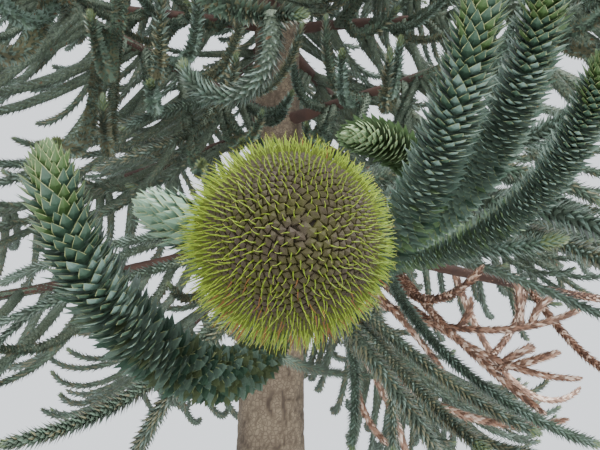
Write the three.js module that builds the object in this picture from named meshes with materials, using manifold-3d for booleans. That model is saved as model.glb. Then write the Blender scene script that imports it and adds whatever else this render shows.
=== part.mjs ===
// A monkey puzzle tree with one seed cone on the end of its lowest front bough.
// Units are millimetres. The origin is the middle of the trunk's flat cut at ground level, and +Z is up.
// Headings are compass angles from +X towards +Y, and pitches are angles above the level, in degrees.
import * as THREE from "three";
import { mergeVertices } from "three/addons/utils/BufferGeometryUtils.js";
import Module from "manifold-3d";

const wasm = await Module();
wasm.setup();

const TREE_HEIGHT = 11000;
const TRUNK_HEIGHT = 10350;
const CHEST_HEIGHT = 1600;
const CHEST_RADIUS = 195;
const TRUNK_TAPER = 0.6;
const TRUNK_RINGS = [0, 110, 260, 480, 900, 1600, 2800, 4200, 5700, 7200, 8500, 9500];
const TRUNK_SIDES = 20;
const FLARE = { reach: 95, height: 260, lobes: 5, lobeDepth: 0.13 };
const CLEARANCE = 0.3;

// The lowest whorl stands at LOWEST_WHORL, and each next one a little nearer to the one under it.
const LOWEST_WHORL = 2800;
const WHORL_STEP = 830;
const WHORL_CLOSING = 7;
const BOUGHS_IN_WHORL = [5, 5, 5, 5, 5, 4, 4, 3, 3, 3];
const WHORLS_WITH_BARE_BOUGHS = 3;
const LONGEST_BOUGH = 3350;
const SHORTEST_BOUGH = 950;
const BOUGH_RADIUS = 48;
const STEM_RADIUS = 36;
const DEAD_BOUGH = { whorl: 0, number: 1 };

// Side shoots are counted as the full tree has them, and the solids keep every third one.
const SHOOT_SPACING = 150;
const KEPT_SHOOT = 3;
const LONGEST_SHOOT = 1450;
const SHORTEST_SHOOT = 460;
const SHOOT_RADIUS = 38;
const LEADER_SHOOTS = 4;
const LEADER_SHOOT_LENGTH = 330;

// A leaf blade of the solids stands for a small spray.
const LEAF = { length: 175, width: 62, thickness: 12, spread: 50 };
const LEAVES_ON_LOW_MASS = 9;
const LEAVES_ON_HIGH_MASS = 6;
const LEAVES_ON_CONE_BOUGH = 40;
const GOLDEN_ANGLE = 137.508;

// The cone hangs on the first bough of the lowest whorl, which comes straight forwards.
const CONE_CENTRE = [14, -3126, 1758];
const CONE_RADIUS = 76;
const CONE_SPIKES = 38;
const CONE_SPIKE = { radius: 8, length: 42, reach: 95, lowest: -0.82 };
const CONE_BOUGH_ROOT = [0, -90, 2832];
const CONE_BOUGH_STEM = 2200;
const CONE_STALK_RADIUS = 22;

// The shoots of the cone's bough. Each has the place where it leaves the bough, counted back from the cone,
// its heading and its pitch at the start and at the tip, how late the pitch turns, and its length.
const CONE_BOUGH_SHOOTS = [
  { name: "left_front", back: 510, heading: [266, 236], pitch: [-72, 71], bend: 1.3, length: 770 },
  { name: "left_tip", back: 290, heading: [225, 238], pitch: [-26, 11], bend: 1.1, length: 240 },
  { name: "right_front", back: 460, heading: [301, 265], pitch: [-38, 68], bend: 1.6, length: 680 },
  { name: "right_second", back: 620, heading: [306, 270], pitch: [-67, 40], bend: 0.6, length: 820 },
  { name: "right_third", back: 730, heading: [350, 263], pitch: [-34, 35], bend: 0.8, length: 800 },
  { name: "right_fourth", back: 1120, heading: [329, 305], pitch: [4, 11], bend: 1.6, length: 930 },
  { name: "right_hook", back: 1160, heading: [334, 323], pitch: [-19, 3], bend: 1.6, length: 750 },
  { name: "right_low", back: 880, heading: [313, 328], pitch: [3, -39], bend: 1.6, length: 770 },
  { name: "right_arch", back: 1260, heading: [310, 358], pitch: [17, -34], bend: 1.6, length: 930 },
  { name: "fall_long", back: 1790, heading: [347, 343], pitch: [-38, -38], bend: 1.6, length: 1280 },
  { name: "fall_second", back: 1760, heading: [341, 341], pitch: [-47, -32], bend: 1.6, length: 1040 },
  { name: "fall_plumb", back: 1520, heading: [4, 301], pitch: [-44, -88], bend: 1.6, length: 810 },
  { name: "fall_front", back: 1450, heading: [356, 319], pitch: [-59, -35], bend: 1.6, length: 890 },
  { name: "far_right", back: 2110, heading: [322, 359], pitch: [-10, -38], bend: 1.6, length: 1390 },
  { name: "left_level", back: 1630, heading: [170, 209], pitch: [-6, -27], bend: 1.6, length: 1060 },
  { name: "left_low", back: 1340, heading: [200, 212], pitch: [-62, -10], bend: 1.6, length: 960 },
  { name: "left_plumb", back: 1390, heading: [255, 115], pitch: [-58, -47], bend: 1.6, length: 870 },
];
const FORK = { from: "right_third", at: 0.45, heading: [253, 198], pitch: [64, -49], bend: 1.1, length: 350 };

const ARC_STEPS = 24;
const BARE_STEPS = 8;
const LOW_LIMB_STRIDE = 4;
const HIGH_LIMB_STRIDE = 6;
const CONE_SHOOT_STRIDE = 6;
const LOW_SHOOT_STRIDE = 8;
const HIGH_SHOOT_STRIDE = 12;
const radians = THREE.MathUtils.degToRad;
const degrees = THREE.MathUtils.radToDeg;
const lerp = THREE.MathUtils.lerp;
const vector = (list) => new THREE.Vector3(...list);

// A repeatable number from -1 to 1 for the branch numbers given.
function vary(a, b = 0, c = 0) {
  const x = Math.sin(a * 12.9898 + b * 78.233 + c * 37.719) * 43758.5453;
  return 2 * (x - Math.floor(x)) - 1;
}

function directionOf(heading, pitch) {
  const level = Math.cos(radians(pitch));
  return vector([Math.cos(radians(heading)) * level, Math.sin(radians(heading)) * level, Math.sin(radians(pitch))]);
}

const stationOf = (point, heading, pitch) => ({ point, heading, pitch, along: directionOf(heading, pitch) });

// The stations of a branch whose heading and pitch change evenly from start to tip.
function arcOf({ start, heading, pitch, bend = 1, length }) {
  const headingAt = (share) => lerp(heading[0], heading[1], share);
  const pitchAt = (share) => lerp(pitch[0], pitch[1], share ** bend);
  const stations = [];
  const point = start.clone();
  for (let i = 0; i <= ARC_STEPS; i++) {
    stations.push(stationOf(point.clone(), headingAt(i / ARC_STEPS), pitchAt(i / ARC_STEPS)));
    const middle = (i + 0.5) / ARC_STEPS;
    point.addScaledVector(directionOf(headingAt(middle), pitchAt(middle)), length / ARC_STEPS);
  }
  return stations;
}

const everyNth = (stations, stride) => stations.filter((_, i) => i % stride === 0);

// The place at a share of the way along straight runs from station to station.
function placeOn(stations, share) {
  const run = share * (stations.length - 1);
  const before = stations[Math.floor(run)];
  const after = stations[Math.ceil(run)];
  const part = run - Math.floor(run);
  const point = before.point.clone().lerp(after.point, part);
  return stationOf(point, lerp(before.heading, after.heading, part), lerp(before.pitch, after.pitch, part));
}

function solidOf(geometry) {
  const bare = geometry.clone();
  bare.deleteAttribute("normal");
  bare.deleteAttribute("uv");
  const merged = mergeVertices(bare, 1e-4);
  const vertProperties = merged.attributes.position.array;
  const triVerts = new Uint32Array(merged.index.array);
  return new wasm.Manifold(new wasm.Mesh({ numProp: 3, vertProperties, triVerts }));
}

function geometryOf(solid) {
  const mesh = solid.getMesh();
  return new THREE.BufferGeometry()
    .setAttribute("position", new THREE.BufferAttribute(mesh.vertProperties, 3))
    .setIndex(new THREE.BufferAttribute(mesh.triVerts, 1));
}

// A cylinder bent along the stations, one ring at each, with its radius given by the share of the way.
// A limb whose radius ends at nothing is pointed.
function limbAlong(stations, radiusAt, sides) {
  const runs = stations.length - 1;
  const tip = radiusAt(1) > 0 ? 1 : 0;
  const geometry = new THREE.CylinderGeometry(tip, 1, 1, sides, runs);
  const position = geometry.attributes.position;
  for (let i = 0; i < position.count; i++) {
    const share = position.getY(i) + 0.5;
    const { point, heading, along } = stations[Math.round(share * runs)];
    const side = directionOf(heading - 90, 0);
    const across = side.clone().cross(along);
    const round = new THREE.Vector2(position.getX(i), position.getZ(i)).normalize().multiplyScalar(radiusAt(share));
    const moved = point.clone().addScaledVector(side, round.x).addScaledVector(across, round.y);
    position.setXYZ(i, ...moved.toArray());
  }
  return solidOf(geometry);
}

function trunkRadius(height) {
  const left = Math.max(TREE_HEIGHT - height, 0) / (TREE_HEIGHT - CHEST_HEIGHT);
  return CHEST_RADIUS * left ** TRUNK_TAPER + FLARE.reach * Math.exp(-height / FLARE.height);
}

// The trunk is turned, and its foot is then drawn out into root lobes. The skin is added all round.
function trunkSolid(skin) {
  const heights = [...TRUNK_RINGS, TRUNK_HEIGHT];
  const side = heights.map((height) => new THREE.Vector2(trunkRadius(height) + skin, height));
  const profile = [new THREE.Vector2(0, 0), ...side, new THREE.Vector2(0, TRUNK_HEIGHT)];
  const geometry = new THREE.LatheGeometry(profile, TRUNK_SIDES);
  const position = geometry.attributes.position;
  for (let i = 0; i < position.count; i++) {
    const angle = Math.atan2(position.getX(i), position.getZ(i));
    const fading = Math.exp(-position.getY(i) / FLARE.height);
    const lobe = 1 + FLARE.lobeDepth * Math.cos(FLARE.lobes * angle) * fading;
    position.setX(i, position.getX(i) * lobe);
    position.setZ(i, position.getZ(i) * lobe);
  }
  geometry.rotateX(Math.PI / 2);
  return solidOf(geometry);
}

// A leaf is a flat keeled blade of six faces that leaves its twig forwards and outwards.
function leafAt(station, turn) {
  const side = directionOf(station.heading - 90, 0);
  const across = side.clone().cross(station.along);
  const outward = side.multiplyScalar(Math.cos(radians(turn))).addScaledVector(across, Math.sin(radians(turn)));
  const forward = station.along
    .clone()
    .multiplyScalar(Math.cos(radians(LEAF.spread)))
    .addScaledVector(outward, Math.sin(radians(LEAF.spread)));
  const wide = station.along.clone().cross(outward);
  const thick = forward.clone().cross(wide);
  const geometry = new THREE.SphereGeometry(1, 3, 2);
  geometry.scale(LEAF.thickness / 1.5, LEAF.length / 2, LEAF.width / Math.sqrt(3));
  geometry.translate(0, LEAF.length / 2, 0);
  geometry.applyMatrix4(new THREE.Matrix4().makeBasis(thick, forward, wide).setPosition(station.point));
  const tip = station.point.clone().addScaledVector(forward, LEAF.length);
  return { solid: solidOf(geometry), tip };
}

// Every limb, shoot and cone claims its space, and a shoot or leaf that would touch another's is skipped.
const claims = [];
const MARGIN = 10;
const PROBE_SPACING = 40;

function claimPath(owner, stations, radius) {
  stations.slice(1).forEach((station, i) => {
    claims.push({ owner, line: new THREE.Line3(stations[i].point, station.point), radius });
  });
}

function gapTo(claim, probe) {
  const nearest = claim.line.closestPointToPoint(probe, true, new THREE.Vector3());
  return nearest.distanceTo(probe) - claim.radius;
}

function isClear(owner, from, to, radius) {
  const others = claims.filter((claim) => claim.owner !== owner);
  const runs = Math.ceil(from.distanceTo(to) / PROBE_SPACING);
  const probes = Array.from({ length: runs + 1 }, (_, i) => from.clone().lerp(to, i / runs));
  const meetsTrunk = (probe) =>
    probe.z < TRUNK_HEIGHT && Math.hypot(probe.x, probe.y) < trunkRadius(probe.z) + radius + MARGIN;
  const meetsAnother = (probe) => others.some((claim) => gapTo(claim, probe) < radius + MARGIN);
  return !probes.some((probe) => meetsTrunk(probe) || meetsAnother(probe));
}

const pathIsClear = (owner, stations, radius) =>
  stations.slice(1).every((station, i) => isClear(owner, stations[i].point, station.point, radius));

const whorlShare = (whorl) => whorl / (BOUGHS_IN_WHORL.length - 1);
const whorlHeight = (whorl) => LOWEST_WHORL + WHORL_STEP * whorl - WHORL_CLOSING * whorl ** 2;
const boughLength = (whorl) => lerp(LONGEST_BOUGH, SHORTEST_BOUGH, whorlShare(whorl) ** 1.3);

function boughHeading(whorl, number) {
  const turn = 360 / BOUGHS_IN_WHORL[whorl];
  return -90 + turn * (number + (whorl % 2) / 2) + 7 * vary(whorl, number);
}

// Low boughs sag and turn up at the tip, and high ones rise. Each starts inside the trunk.
function boughArc(whorl, number) {
  const rise = whorlShare(whorl);
  const heading = boughHeading(whorl, number);
  const height = whorlHeight(whorl) + 60 * vary(whorl, number, 1);
  const start = directionOf(heading, 0).multiplyScalar(trunkRadius(height) / 2);
  start.z = height;
  return arcOf({
    start,
    heading: [heading, heading + 10 * vary(whorl, number, 2)],
    pitch: [lerp(-18, 36, rise) + 3 * vary(whorl, number, 3), lerp(16, 60, rise)],
    bend: 3,
    length: boughLength(whorl) * (1 + 0.06 * vary(whorl, number, 4)),
  });
}

// A side shoot leaves its bough sideways, sags, and turns up at the tip. It is longest a third of the way out.
function sideShootArc(whorl, number, bough, index, count) {
  const rise = whorlShare(whorl);
  const share = lerp(0.06, 0.97, (index + 0.5) / count);
  const station = placeOn(bough, share);
  const side = index % 2 === 0 ? 1 : -1;
  const wander = vary(whorl * 7 + number, index, 5);
  const leave = station.heading + side * (78 - 36 * share + 9 * wander);
  const fullness = Math.min(0.4 + 1.7 * share, 1) * (1 - 0.68 * share ** 2.2);
  const lengthVariety = 1 + 0.16 * vary(whorl + number * 5, index, 6);
  return arcOf({
    start: station.point,
    heading: [leave, leave - side * (26 + 10 * wander)],
    pitch: [station.pitch - lerp(26, 6, rise) + 9 * vary(whorl, index + number * 3, 7), lerp(34, 52, rise)],
    bend: lerp(2.6, 1.6, rise),
    length: lerp(LONGEST_SHOOT, SHORTEST_SHOOT, rise) * fullness * lengthVariety,
  });
}

// A shoot is narrow at its root, which is sunk in the stem, and runs out to a point.
const shootRadius = (share) => SHOOT_RADIUS * Math.min(0.4 + 2 * share, 1) * (1 - share ** 4);
const stemRadius = (share) => STEM_RADIUS * (1 - share ** 4);
const stalkRadius = (share) => lerp(STEM_RADIUS, CONE_STALK_RADIUS, share);

const bark = new THREE.MeshStandardMaterial({ color: 0x6f655c, roughness: 0.92, metalness: 0 });
const boughBark = new THREE.MeshStandardMaterial({ color: 0x5a463b, roughness: 0.9, metalness: 0 });
const leafGreen = new THREE.MeshStandardMaterial({ color: 0x3c5a45, roughness: 0.6, metalness: 0 });
const deadBrown = new THREE.MeshStandardMaterial({ color: 0x9a6a4c, roughness: 0.85, metalness: 0 });
const coneGreen = new THREE.MeshStandardMaterial({ color: 0x8f9a38, roughness: 0.65, metalness: 0 });

const tree = new THREE.Group();

function addNode(name, solid, material) {
  const mesh = new THREE.Mesh(geometryOf(solid), material);
  mesh.name = name;
  tree.add(mesh);
}

addNode("trunk", trunkSolid(0), bark);
const trunkClearance = trunkSolid(CLEARANCE);

// A stem, its side shoots and their leaves, all fused. Each carrier in turn gets a leaf, spiralling round.
function massSolid(owner, stem, radiusAt, shoots, shootSides, leafCount) {
  claimPath(owner, stem, STEM_RADIUS);
  const parts = [limbAlong(stem, radiusAt, 4)];
  const carriers = [stem];
  for (const shoot of shoots.filter((stations) => pathIsClear(owner, stations, SHOOT_RADIUS))) {
    claimPath(owner, shoot, SHOOT_RADIUS);
    parts.push(limbAlong(shoot, shootRadius, shootSides));
    carriers.push(shoot);
  }
  for (let i = 0; i < leafCount; i++) {
    const station = placeOn(carriers[i % carriers.length], 0.6 + 0.27 * vary(i, leafCount, 8));
    const leaf = leafAt(station, GOLDEN_ANGLE * i);
    if (isClear(owner, station.point, leaf.tip, LEAF.width / 2)) parts.push(leaf.solid);
  }
  return wasm.Manifold.union(parts);
}

// Moves the first station on by the clearance, so that two pieces that share it don't touch.
function startClear(stations) {
  const first = stations[0];
  const point = first.point.clone().addScaledVector(first.along, CLEARANCE);
  return [{ ...first, point }, ...stations.slice(1)];
}

function addBareBough(name, stations) {
  const radiusAt = (share) => lerp(BOUGH_RADIUS, STEM_RADIUS, share);
  claimPath(name, stations, BOUGH_RADIUS);
  addNode(name, limbAlong(stations, radiusAt, 6).subtract(trunkClearance), boughBark);
}

// The cone's bough runs straight from the trunk to the cone.
const coneCentre = vector(CONE_CENTRE);
const coneBoughRun = coneCentre.clone().sub(vector(CONE_BOUGH_ROOT));
const coneBoughLength = coneBoughRun.length();
const coneBoughAlong = coneBoughRun.clone().normalize();
const onConeBough = (back) => coneCentre.clone().addScaledVector(coneBoughAlong, -back);

function coneBoughStretch(backFrom, backTo) {
  const heading = degrees(Math.atan2(coneBoughAlong.y, coneBoughAlong.x));
  const pitch = degrees(Math.asin(coneBoughAlong.z));
  const start = onConeBough(backFrom);
  return arcOf({ start, heading: [heading, heading], pitch: [pitch, pitch], length: backFrom - backTo });
}

// The cone is a ball with spikes all round, apart from where its stalk comes in.
function coneSolid() {
  const parts = [solidOf(new THREE.SphereGeometry(CONE_RADIUS, 12, 8))];
  const up = vector([0, 1, 0]);
  for (let i = 0; i < CONE_SPIKES; i++) {
    const height = lerp(1, CONE_SPIKE.lowest, (i + 0.5) / CONE_SPIKES);
    const level = Math.sqrt(1 - height ** 2);
    const around = radians(GOLDEN_ANGLE * i);
    const outward = vector([level * Math.cos(around), height, level * Math.sin(around)]);
    const spike = new THREE.ConeGeometry(CONE_SPIKE.radius, CONE_SPIKE.length, 3, 1);
    spike.translate(0, CONE_SPIKE.reach - CONE_SPIKE.length / 2, 0);
    spike.applyQuaternion(new THREE.Quaternion().setFromUnitVectors(up, outward));
    parts.push(solidOf(spike));
  }
  const joined = geometryOf(wasm.Manifold.union(parts));
  joined.applyQuaternion(new THREE.Quaternion().setFromUnitVectors(up, coneBoughAlong));
  joined.translate(...CONE_CENTRE);
  return solidOf(joined);
}

addNode("seed_cone", coneSolid(), coneGreen);
claims.push({ owner: "seed_cone", line: new THREE.Line3(coneCentre, coneCentre), radius: CONE_SPIKE.reach });

function addConeBough() {
  addBareBough("bough_1_1", everyNth(coneBoughStretch(coneBoughLength, CONE_BOUGH_STEM), HIGH_SHOOT_STRIDE));
  const stem = startClear(coneBoughStretch(CONE_BOUGH_STEM, CONE_RADIUS + CLEARANCE));
  const arcs = CONE_BOUGH_SHOOTS.map((shoot) => [shoot.name, arcOf({ start: onConeBough(shoot.back), ...shoot })]);
  const forked = everyNth(Object.fromEntries(arcs)[FORK.from], CONE_SHOOT_STRIDE);
  const fork = arcOf({ start: placeOn(forked, FORK.at).point, ...FORK });
  const shoots = [...arcs.map(([, arc]) => arc), fork].map((arc) => everyNth(arc, CONE_SHOOT_STRIDE));
  const owner = "foliage_1_1";
  const solid = massSolid(owner, everyNth(stem, ARC_STEPS), stalkRadius, shoots, 4, LEAVES_ON_CONE_BOUGH);
  addNode(owner, solid, leafGreen);
}

function addBough(whorl, number) {
  const label = `${whorl + 1}_${number + 1}`;
  const bough = boughArc(whorl, number);
  const isLow = whorl < WHORLS_WITH_BARE_BOUGHS;
  const coarse = everyNth(bough, isLow ? LOW_LIMB_STRIDE : HIGH_LIMB_STRIDE);
  const shootStride = isLow ? LOW_SHOOT_STRIDE : HIGH_SHOOT_STRIDE;
  const count = Math.round(boughLength(whorl) / SHOOT_SPACING);
  const shoots = [];
  for (let index = isLow ? Math.ceil(count / 3) : 1; index < count; index += KEPT_SHOOT)
    shoots.push(everyNth(sideShootArc(whorl, number, coarse, index, count), shootStride));
  const owner = `foliage_${label}`;
  const isDead = whorl === DEAD_BOUGH.whorl && number === DEAD_BOUGH.number;
  const material = isDead ? deadBrown : leafGreen;
  if (isLow) {
    addBareBough(`bough_${label}`, everyNth(bough.slice(0, BARE_STEPS + 1), LOW_LIMB_STRIDE));
    const stem = startClear(everyNth(bough.slice(BARE_STEPS), LOW_LIMB_STRIDE));
    addNode(owner, massSolid(owner, stem, stemRadius, shoots, 3, LEAVES_ON_LOW_MASS), material);
  } else {
    const mass = massSolid(owner, coarse, stemRadius, shoots, 3, LEAVES_ON_HIGH_MASS);
    addNode(owner, mass.subtract(trunkClearance), material);
  }
}

// The leader goes on up from the flat top of the trunk, with a ring of short rising shoots.
function addLeader() {
  const start = vector([0, 0, TRUNK_HEIGHT + CLEARANCE]);
  const length = TREE_HEIGHT - start.z;
  const leader = everyNth(arcOf({ start, heading: [0, 0], pitch: [90, 90], length }), HIGH_SHOOT_STRIDE);
  const shoots = Array.from({ length: LEADER_SHOOTS }, (_, i) => {
    const heading = (360 / LEADER_SHOOTS) * i + 20;
    const from = placeOn(leader, 0.3 + 0.05 * i).point;
    const arc = { start: from, heading: [heading, heading], pitch: [30, 75], length: LEADER_SHOOT_LENGTH };
    return everyNth(arcOf(arc), HIGH_SHOOT_STRIDE);
  });
  const owner = "foliage_leader";
  addNode(owner, massSolid(owner, leader, stemRadius, shoots, 3, LEAVES_ON_HIGH_MASS), leafGreen);
}

addConeBough();
BOUGHS_IN_WHORL.forEach((boughs, whorl) => {
  for (let number = whorl === 0 ? 1 : 0; number < boughs; number++) addBough(whorl, number);
});
addLeader();

export default tree;
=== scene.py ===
import bpy
import numpy as np
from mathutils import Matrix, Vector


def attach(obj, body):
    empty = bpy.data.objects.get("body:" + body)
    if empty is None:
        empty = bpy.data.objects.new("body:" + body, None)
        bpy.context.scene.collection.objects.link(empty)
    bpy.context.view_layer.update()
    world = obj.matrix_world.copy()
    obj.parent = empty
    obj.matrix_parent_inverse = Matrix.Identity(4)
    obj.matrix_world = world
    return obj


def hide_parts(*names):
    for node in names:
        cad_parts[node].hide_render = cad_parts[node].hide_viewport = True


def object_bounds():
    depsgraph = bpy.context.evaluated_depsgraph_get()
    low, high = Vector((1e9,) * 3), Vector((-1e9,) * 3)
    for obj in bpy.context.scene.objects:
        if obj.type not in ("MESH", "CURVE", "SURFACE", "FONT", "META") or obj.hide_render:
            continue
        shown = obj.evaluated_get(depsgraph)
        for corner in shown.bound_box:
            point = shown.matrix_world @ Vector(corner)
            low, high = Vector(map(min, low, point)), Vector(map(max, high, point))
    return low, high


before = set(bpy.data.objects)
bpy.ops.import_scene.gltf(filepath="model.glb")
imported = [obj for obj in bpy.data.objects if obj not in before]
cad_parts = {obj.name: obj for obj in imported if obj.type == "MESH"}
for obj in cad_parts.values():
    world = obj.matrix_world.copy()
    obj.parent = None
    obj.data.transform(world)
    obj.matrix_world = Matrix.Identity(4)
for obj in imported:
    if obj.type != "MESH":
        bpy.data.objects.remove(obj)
cad_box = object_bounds()

# The camera and the studio
# The tree is seen from under its lowest boughs, looking up past the seed cone to the trunk.
# Pale even light comes from all round, and a large soft lamp stands high on the right.
CAMERA_PLACE = (0.0, -3.6, 1.6)
CAMERA_PITCH = 20.0
CAMERA_YAW = 2.67
LENS = 35.0
LIGHT_COLOUR, LIGHT_STRENGTH = (0.9, 0.95, 1.0, 1), 1.5

lens = bpy.data.cameras.new("camera")
lens.lens = LENS
camera = bpy.data.objects.new("camera", lens)
camera.location = CAMERA_PLACE
camera.rotation_euler = np.radians((90 + CAMERA_PITCH, 0, -CAMERA_YAW))
bpy.context.collection.objects.link(camera)
bpy.context.scene.camera = camera

world = bpy.data.worlds.new("studio")
world.use_nodes = True
backdrop = world.node_tree.nodes["Background"].inputs
backdrop["Color"].default_value = LIGHT_COLOUR
backdrop["Strength"].default_value = LIGHT_STRENGTH
bpy.context.scene.world = world


def soft_lamp(name, place, turn, size, power):
    light = bpy.data.lights.new(name, "AREA")
    light.size = size
    light.energy = power
    lamp = bpy.data.objects.new(name, light)
    lamp.location = place
    lamp.rotation_euler = np.radians(turn)
    bpy.context.collection.objects.link(lamp)


soft_lamp("key_lamp", (7, -9, 13), (42, 0, 38), 5, 5000)
soft_lamp("low_lamp", (-2.5, -7, 2.6), (80, 0, -20), 2.4, 160)

FLOOR_SIZE = 60.0
FLOOR_COLOUR, FLOOR_ROUGHNESS = (0.8, 0.8, 0.78, 1), 0.8


def triangles(corners):
    """Each row of four corners becomes two rows of three: the first, second and third corner,
    and the first, third and fourth."""
    return np.concatenate((corners[:, [0, 1, 2]], corners[:, [0, 2, 3]]))


def mesh_piece(name, points, corners, materials, finish_of=None, smooth=False):
    """A mesh object from an array of points and an array of faces, each a row of point numbers.
    finish_of holds the number of each face's material."""
    mesh = bpy.data.meshes.new(name)
    mesh.vertices.add(len(points))
    mesh.vertices.foreach_set("co", np.ascontiguousarray(points, np.float32).ravel())
    mesh.loops.add(corners.size)
    mesh.loops.foreach_set("vertex_index", np.ascontiguousarray(corners, np.int32).ravel())
    mesh.polygons.add(len(corners))
    mesh.polygons.foreach_set("loop_start", np.arange(0, corners.size, corners.shape[1], dtype=np.int32))
    for material in materials:
        mesh.materials.append(material)
    if finish_of is not None:
        mesh.polygons.foreach_set("material_index", np.ascontiguousarray(finish_of, np.int32))
    mesh.polygons.foreach_set("use_smooth", np.full(len(corners), smooth))
    mesh.update(calc_edges=True)
    piece = bpy.data.objects.new(name, mesh)
    bpy.context.collection.objects.link(piece)
    return piece


half = FLOOR_SIZE / 2
floor_points = np.array([(-half, -half, 0), (half, -half, 0), (half, half, 0), (-half, half, 0)])
floor_finish = bpy.data.materials.new("studio_floor")
floor_finish.use_nodes = True
floor_shader = floor_finish.node_tree.nodes["Principled BSDF"]
floor_shader.inputs["Base Color"].default_value = FLOOR_COLOUR
floor_shader.inputs["Roughness"].default_value = FLOOR_ROUGHNESS
floor = mesh_piece("studio_floor", floor_points, np.array([[0, 1, 2, 3]]), [floor_finish])

# The trunk
# A straight grey-brown stem with a flared foot. Its bark is cracked into small plates and ringed by
# old leaf scars, and it swells where each bough comes out. It runs up to the leader's foot.
TREE_HEIGHT, TRUNK_HEIGHT = 11.0, 10.35
CHEST_HEIGHT, CHEST_RADIUS, TRUNK_TAPER = 1.6, 0.195, 0.6
FLARE_REACH, FLARE_HEIGHT, FLARE_LOBES, FLARE_DEPTH = 0.095, 0.26, 5, 0.13
FINE_TRUNK_TOP, FINE_RING_STEP = 4.6, 0.015
UPPER_RINGS, TRUNK_SIDES = 90, 96
PLATE_WIDTH, PLATE_HEIGHT = 0.02, 0.034
BARK_CELLS = 44
CRACK_DEPTH, RING_DEPTH, LUMP_DEPTH = 0.006, 0.0035, 0.006
UPRIGHT_CRACK, LEVEL_CRACK, LEVEL_CRACK_DEPTH = 0.09, 0.07, 0.7
UPRIGHT_WANDER, LEVEL_WANDER, RING_WANDER = 0.12, 0.05, 0.03
COLLAR_DEPTH, COLLAR_RADIUS = 0.016, 0.1
KNOT_HEADING, KNOT_HEIGHT, KNOT_RADIUS, KNOT_DEPTH = 207.0, 2.1, 0.042, 0.02
KNOT_RIM, KNOT_HOLLOW = 1.1, 0.7
RELIEF_FADE, FULL_RELIEF_RADIUS = 0.4, 0.12
# Noises over the bark: the places round the trunk, the step up it, and the seed.
WANDER_NOISE, WORN_NOISE = (24, 0.16, 1), (14, 0.11, 4)
RING_NOISE, LUMP_NOISE = (7, 0.021, 5), (9, 0.34, 6)

# Each whorl of boughs stands a little nearer to the one below than the one before it.
LOWEST_WHORL, WHORL_STEP, WHORL_CLOSING = 2.8, 0.83, 0.007
HEADING_SPREAD, LEVEL_SPREAD = 7, 0.06
BOUGHS_IN_WHORL = (5, 5, 5, 5, 5, 4, 4, 3, 3, 3)
BARE_WHORLS = 3
LONGEST_BOUGH, SHORTEST_BOUGH = 3.35, 0.95


def vary(a, b=0, c=0):
    """A repeatable number from -1 to 1: the part after the point of a large sine of the numbers."""
    x = np.sin(a * 12.9898 + b * 78.233 + c * 37.719) * 43758.5453
    return 2 * (x - np.floor(x)) - 1


def lerp(low, high, share):
    return low + (high - low) * share


def trunk_radius(height):
    """A power of the height that is left, and a flare that fades upwards from the ground."""
    left = np.maximum(TREE_HEIGHT - height, 0) / (TREE_HEIGHT - CHEST_HEIGHT)
    return CHEST_RADIUS * left**TRUNK_TAPER + FLARE_REACH * np.exp(-height / FLARE_HEIGHT)


def whorl_share(whorl):
    return whorl / (len(BOUGHS_IN_WHORL) - 1)


def bough_heading(whorl, number):
    turn = 360 / BOUGHS_IN_WHORL[whorl]
    return -90 + turn * (number + (whorl % 2) / 2) + HEADING_SPREAD * vary(whorl, number)


def bough_height(whorl, number):
    level = LOWEST_WHORL + WHORL_STEP * whorl - WHORL_CLOSING * whorl**2
    return level + LEVEL_SPREAD * vary(whorl, number, 1)


def bough_length(whorl):
    return lerp(LONGEST_BOUGH, SHORTEST_BOUGH, whorl_share(whorl) ** 1.3)


ALL_BOUGHS = [(whorl, number) for whorl, count in enumerate(BOUGHS_IN_WHORL) for number in range(count)]


def ring_noise(angle, height, cells, step, seed):
    """Smooth noise from 0 to 1 on a cylinder: random values at `cells` places round it and every
    `step` of its height, blended between neighbours by a curve that is flat at both ends."""
    rows = int(np.ceil(height.max() / step)) + 2
    values = np.random.default_rng(seed).random((rows, cells))
    u = angle / (2 * np.pi) * cells
    v = height / step
    column, row = np.floor(u).astype(int), np.floor(v).astype(int)
    across, up = u - column, v - row
    across, up = across**2 * (3 - 2 * across), up**2 * (3 - 2 * up)
    left, right = column % cells, (column + 1) % cells
    lower = lerp(values[row, left], values[row, right], across)
    upper = lerp(values[row + 1, left], values[row + 1, right], across)
    return lerp(lower, upper, up)


def patch_on_trunk(angle, height, heading, level, radius):
    """The distance from a place on the trunk to the point at a heading and level, over a radius."""
    turn = (angle - np.radians(heading) + np.pi) % (2 * np.pi) - np.pi
    return np.hypot(turn * trunk_radius(level), height - level) / radius


def bell(offset):
    """One in the middle and less on both sides: e to the power of minus the offset's square."""
    return np.exp(-(offset**2))


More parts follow.
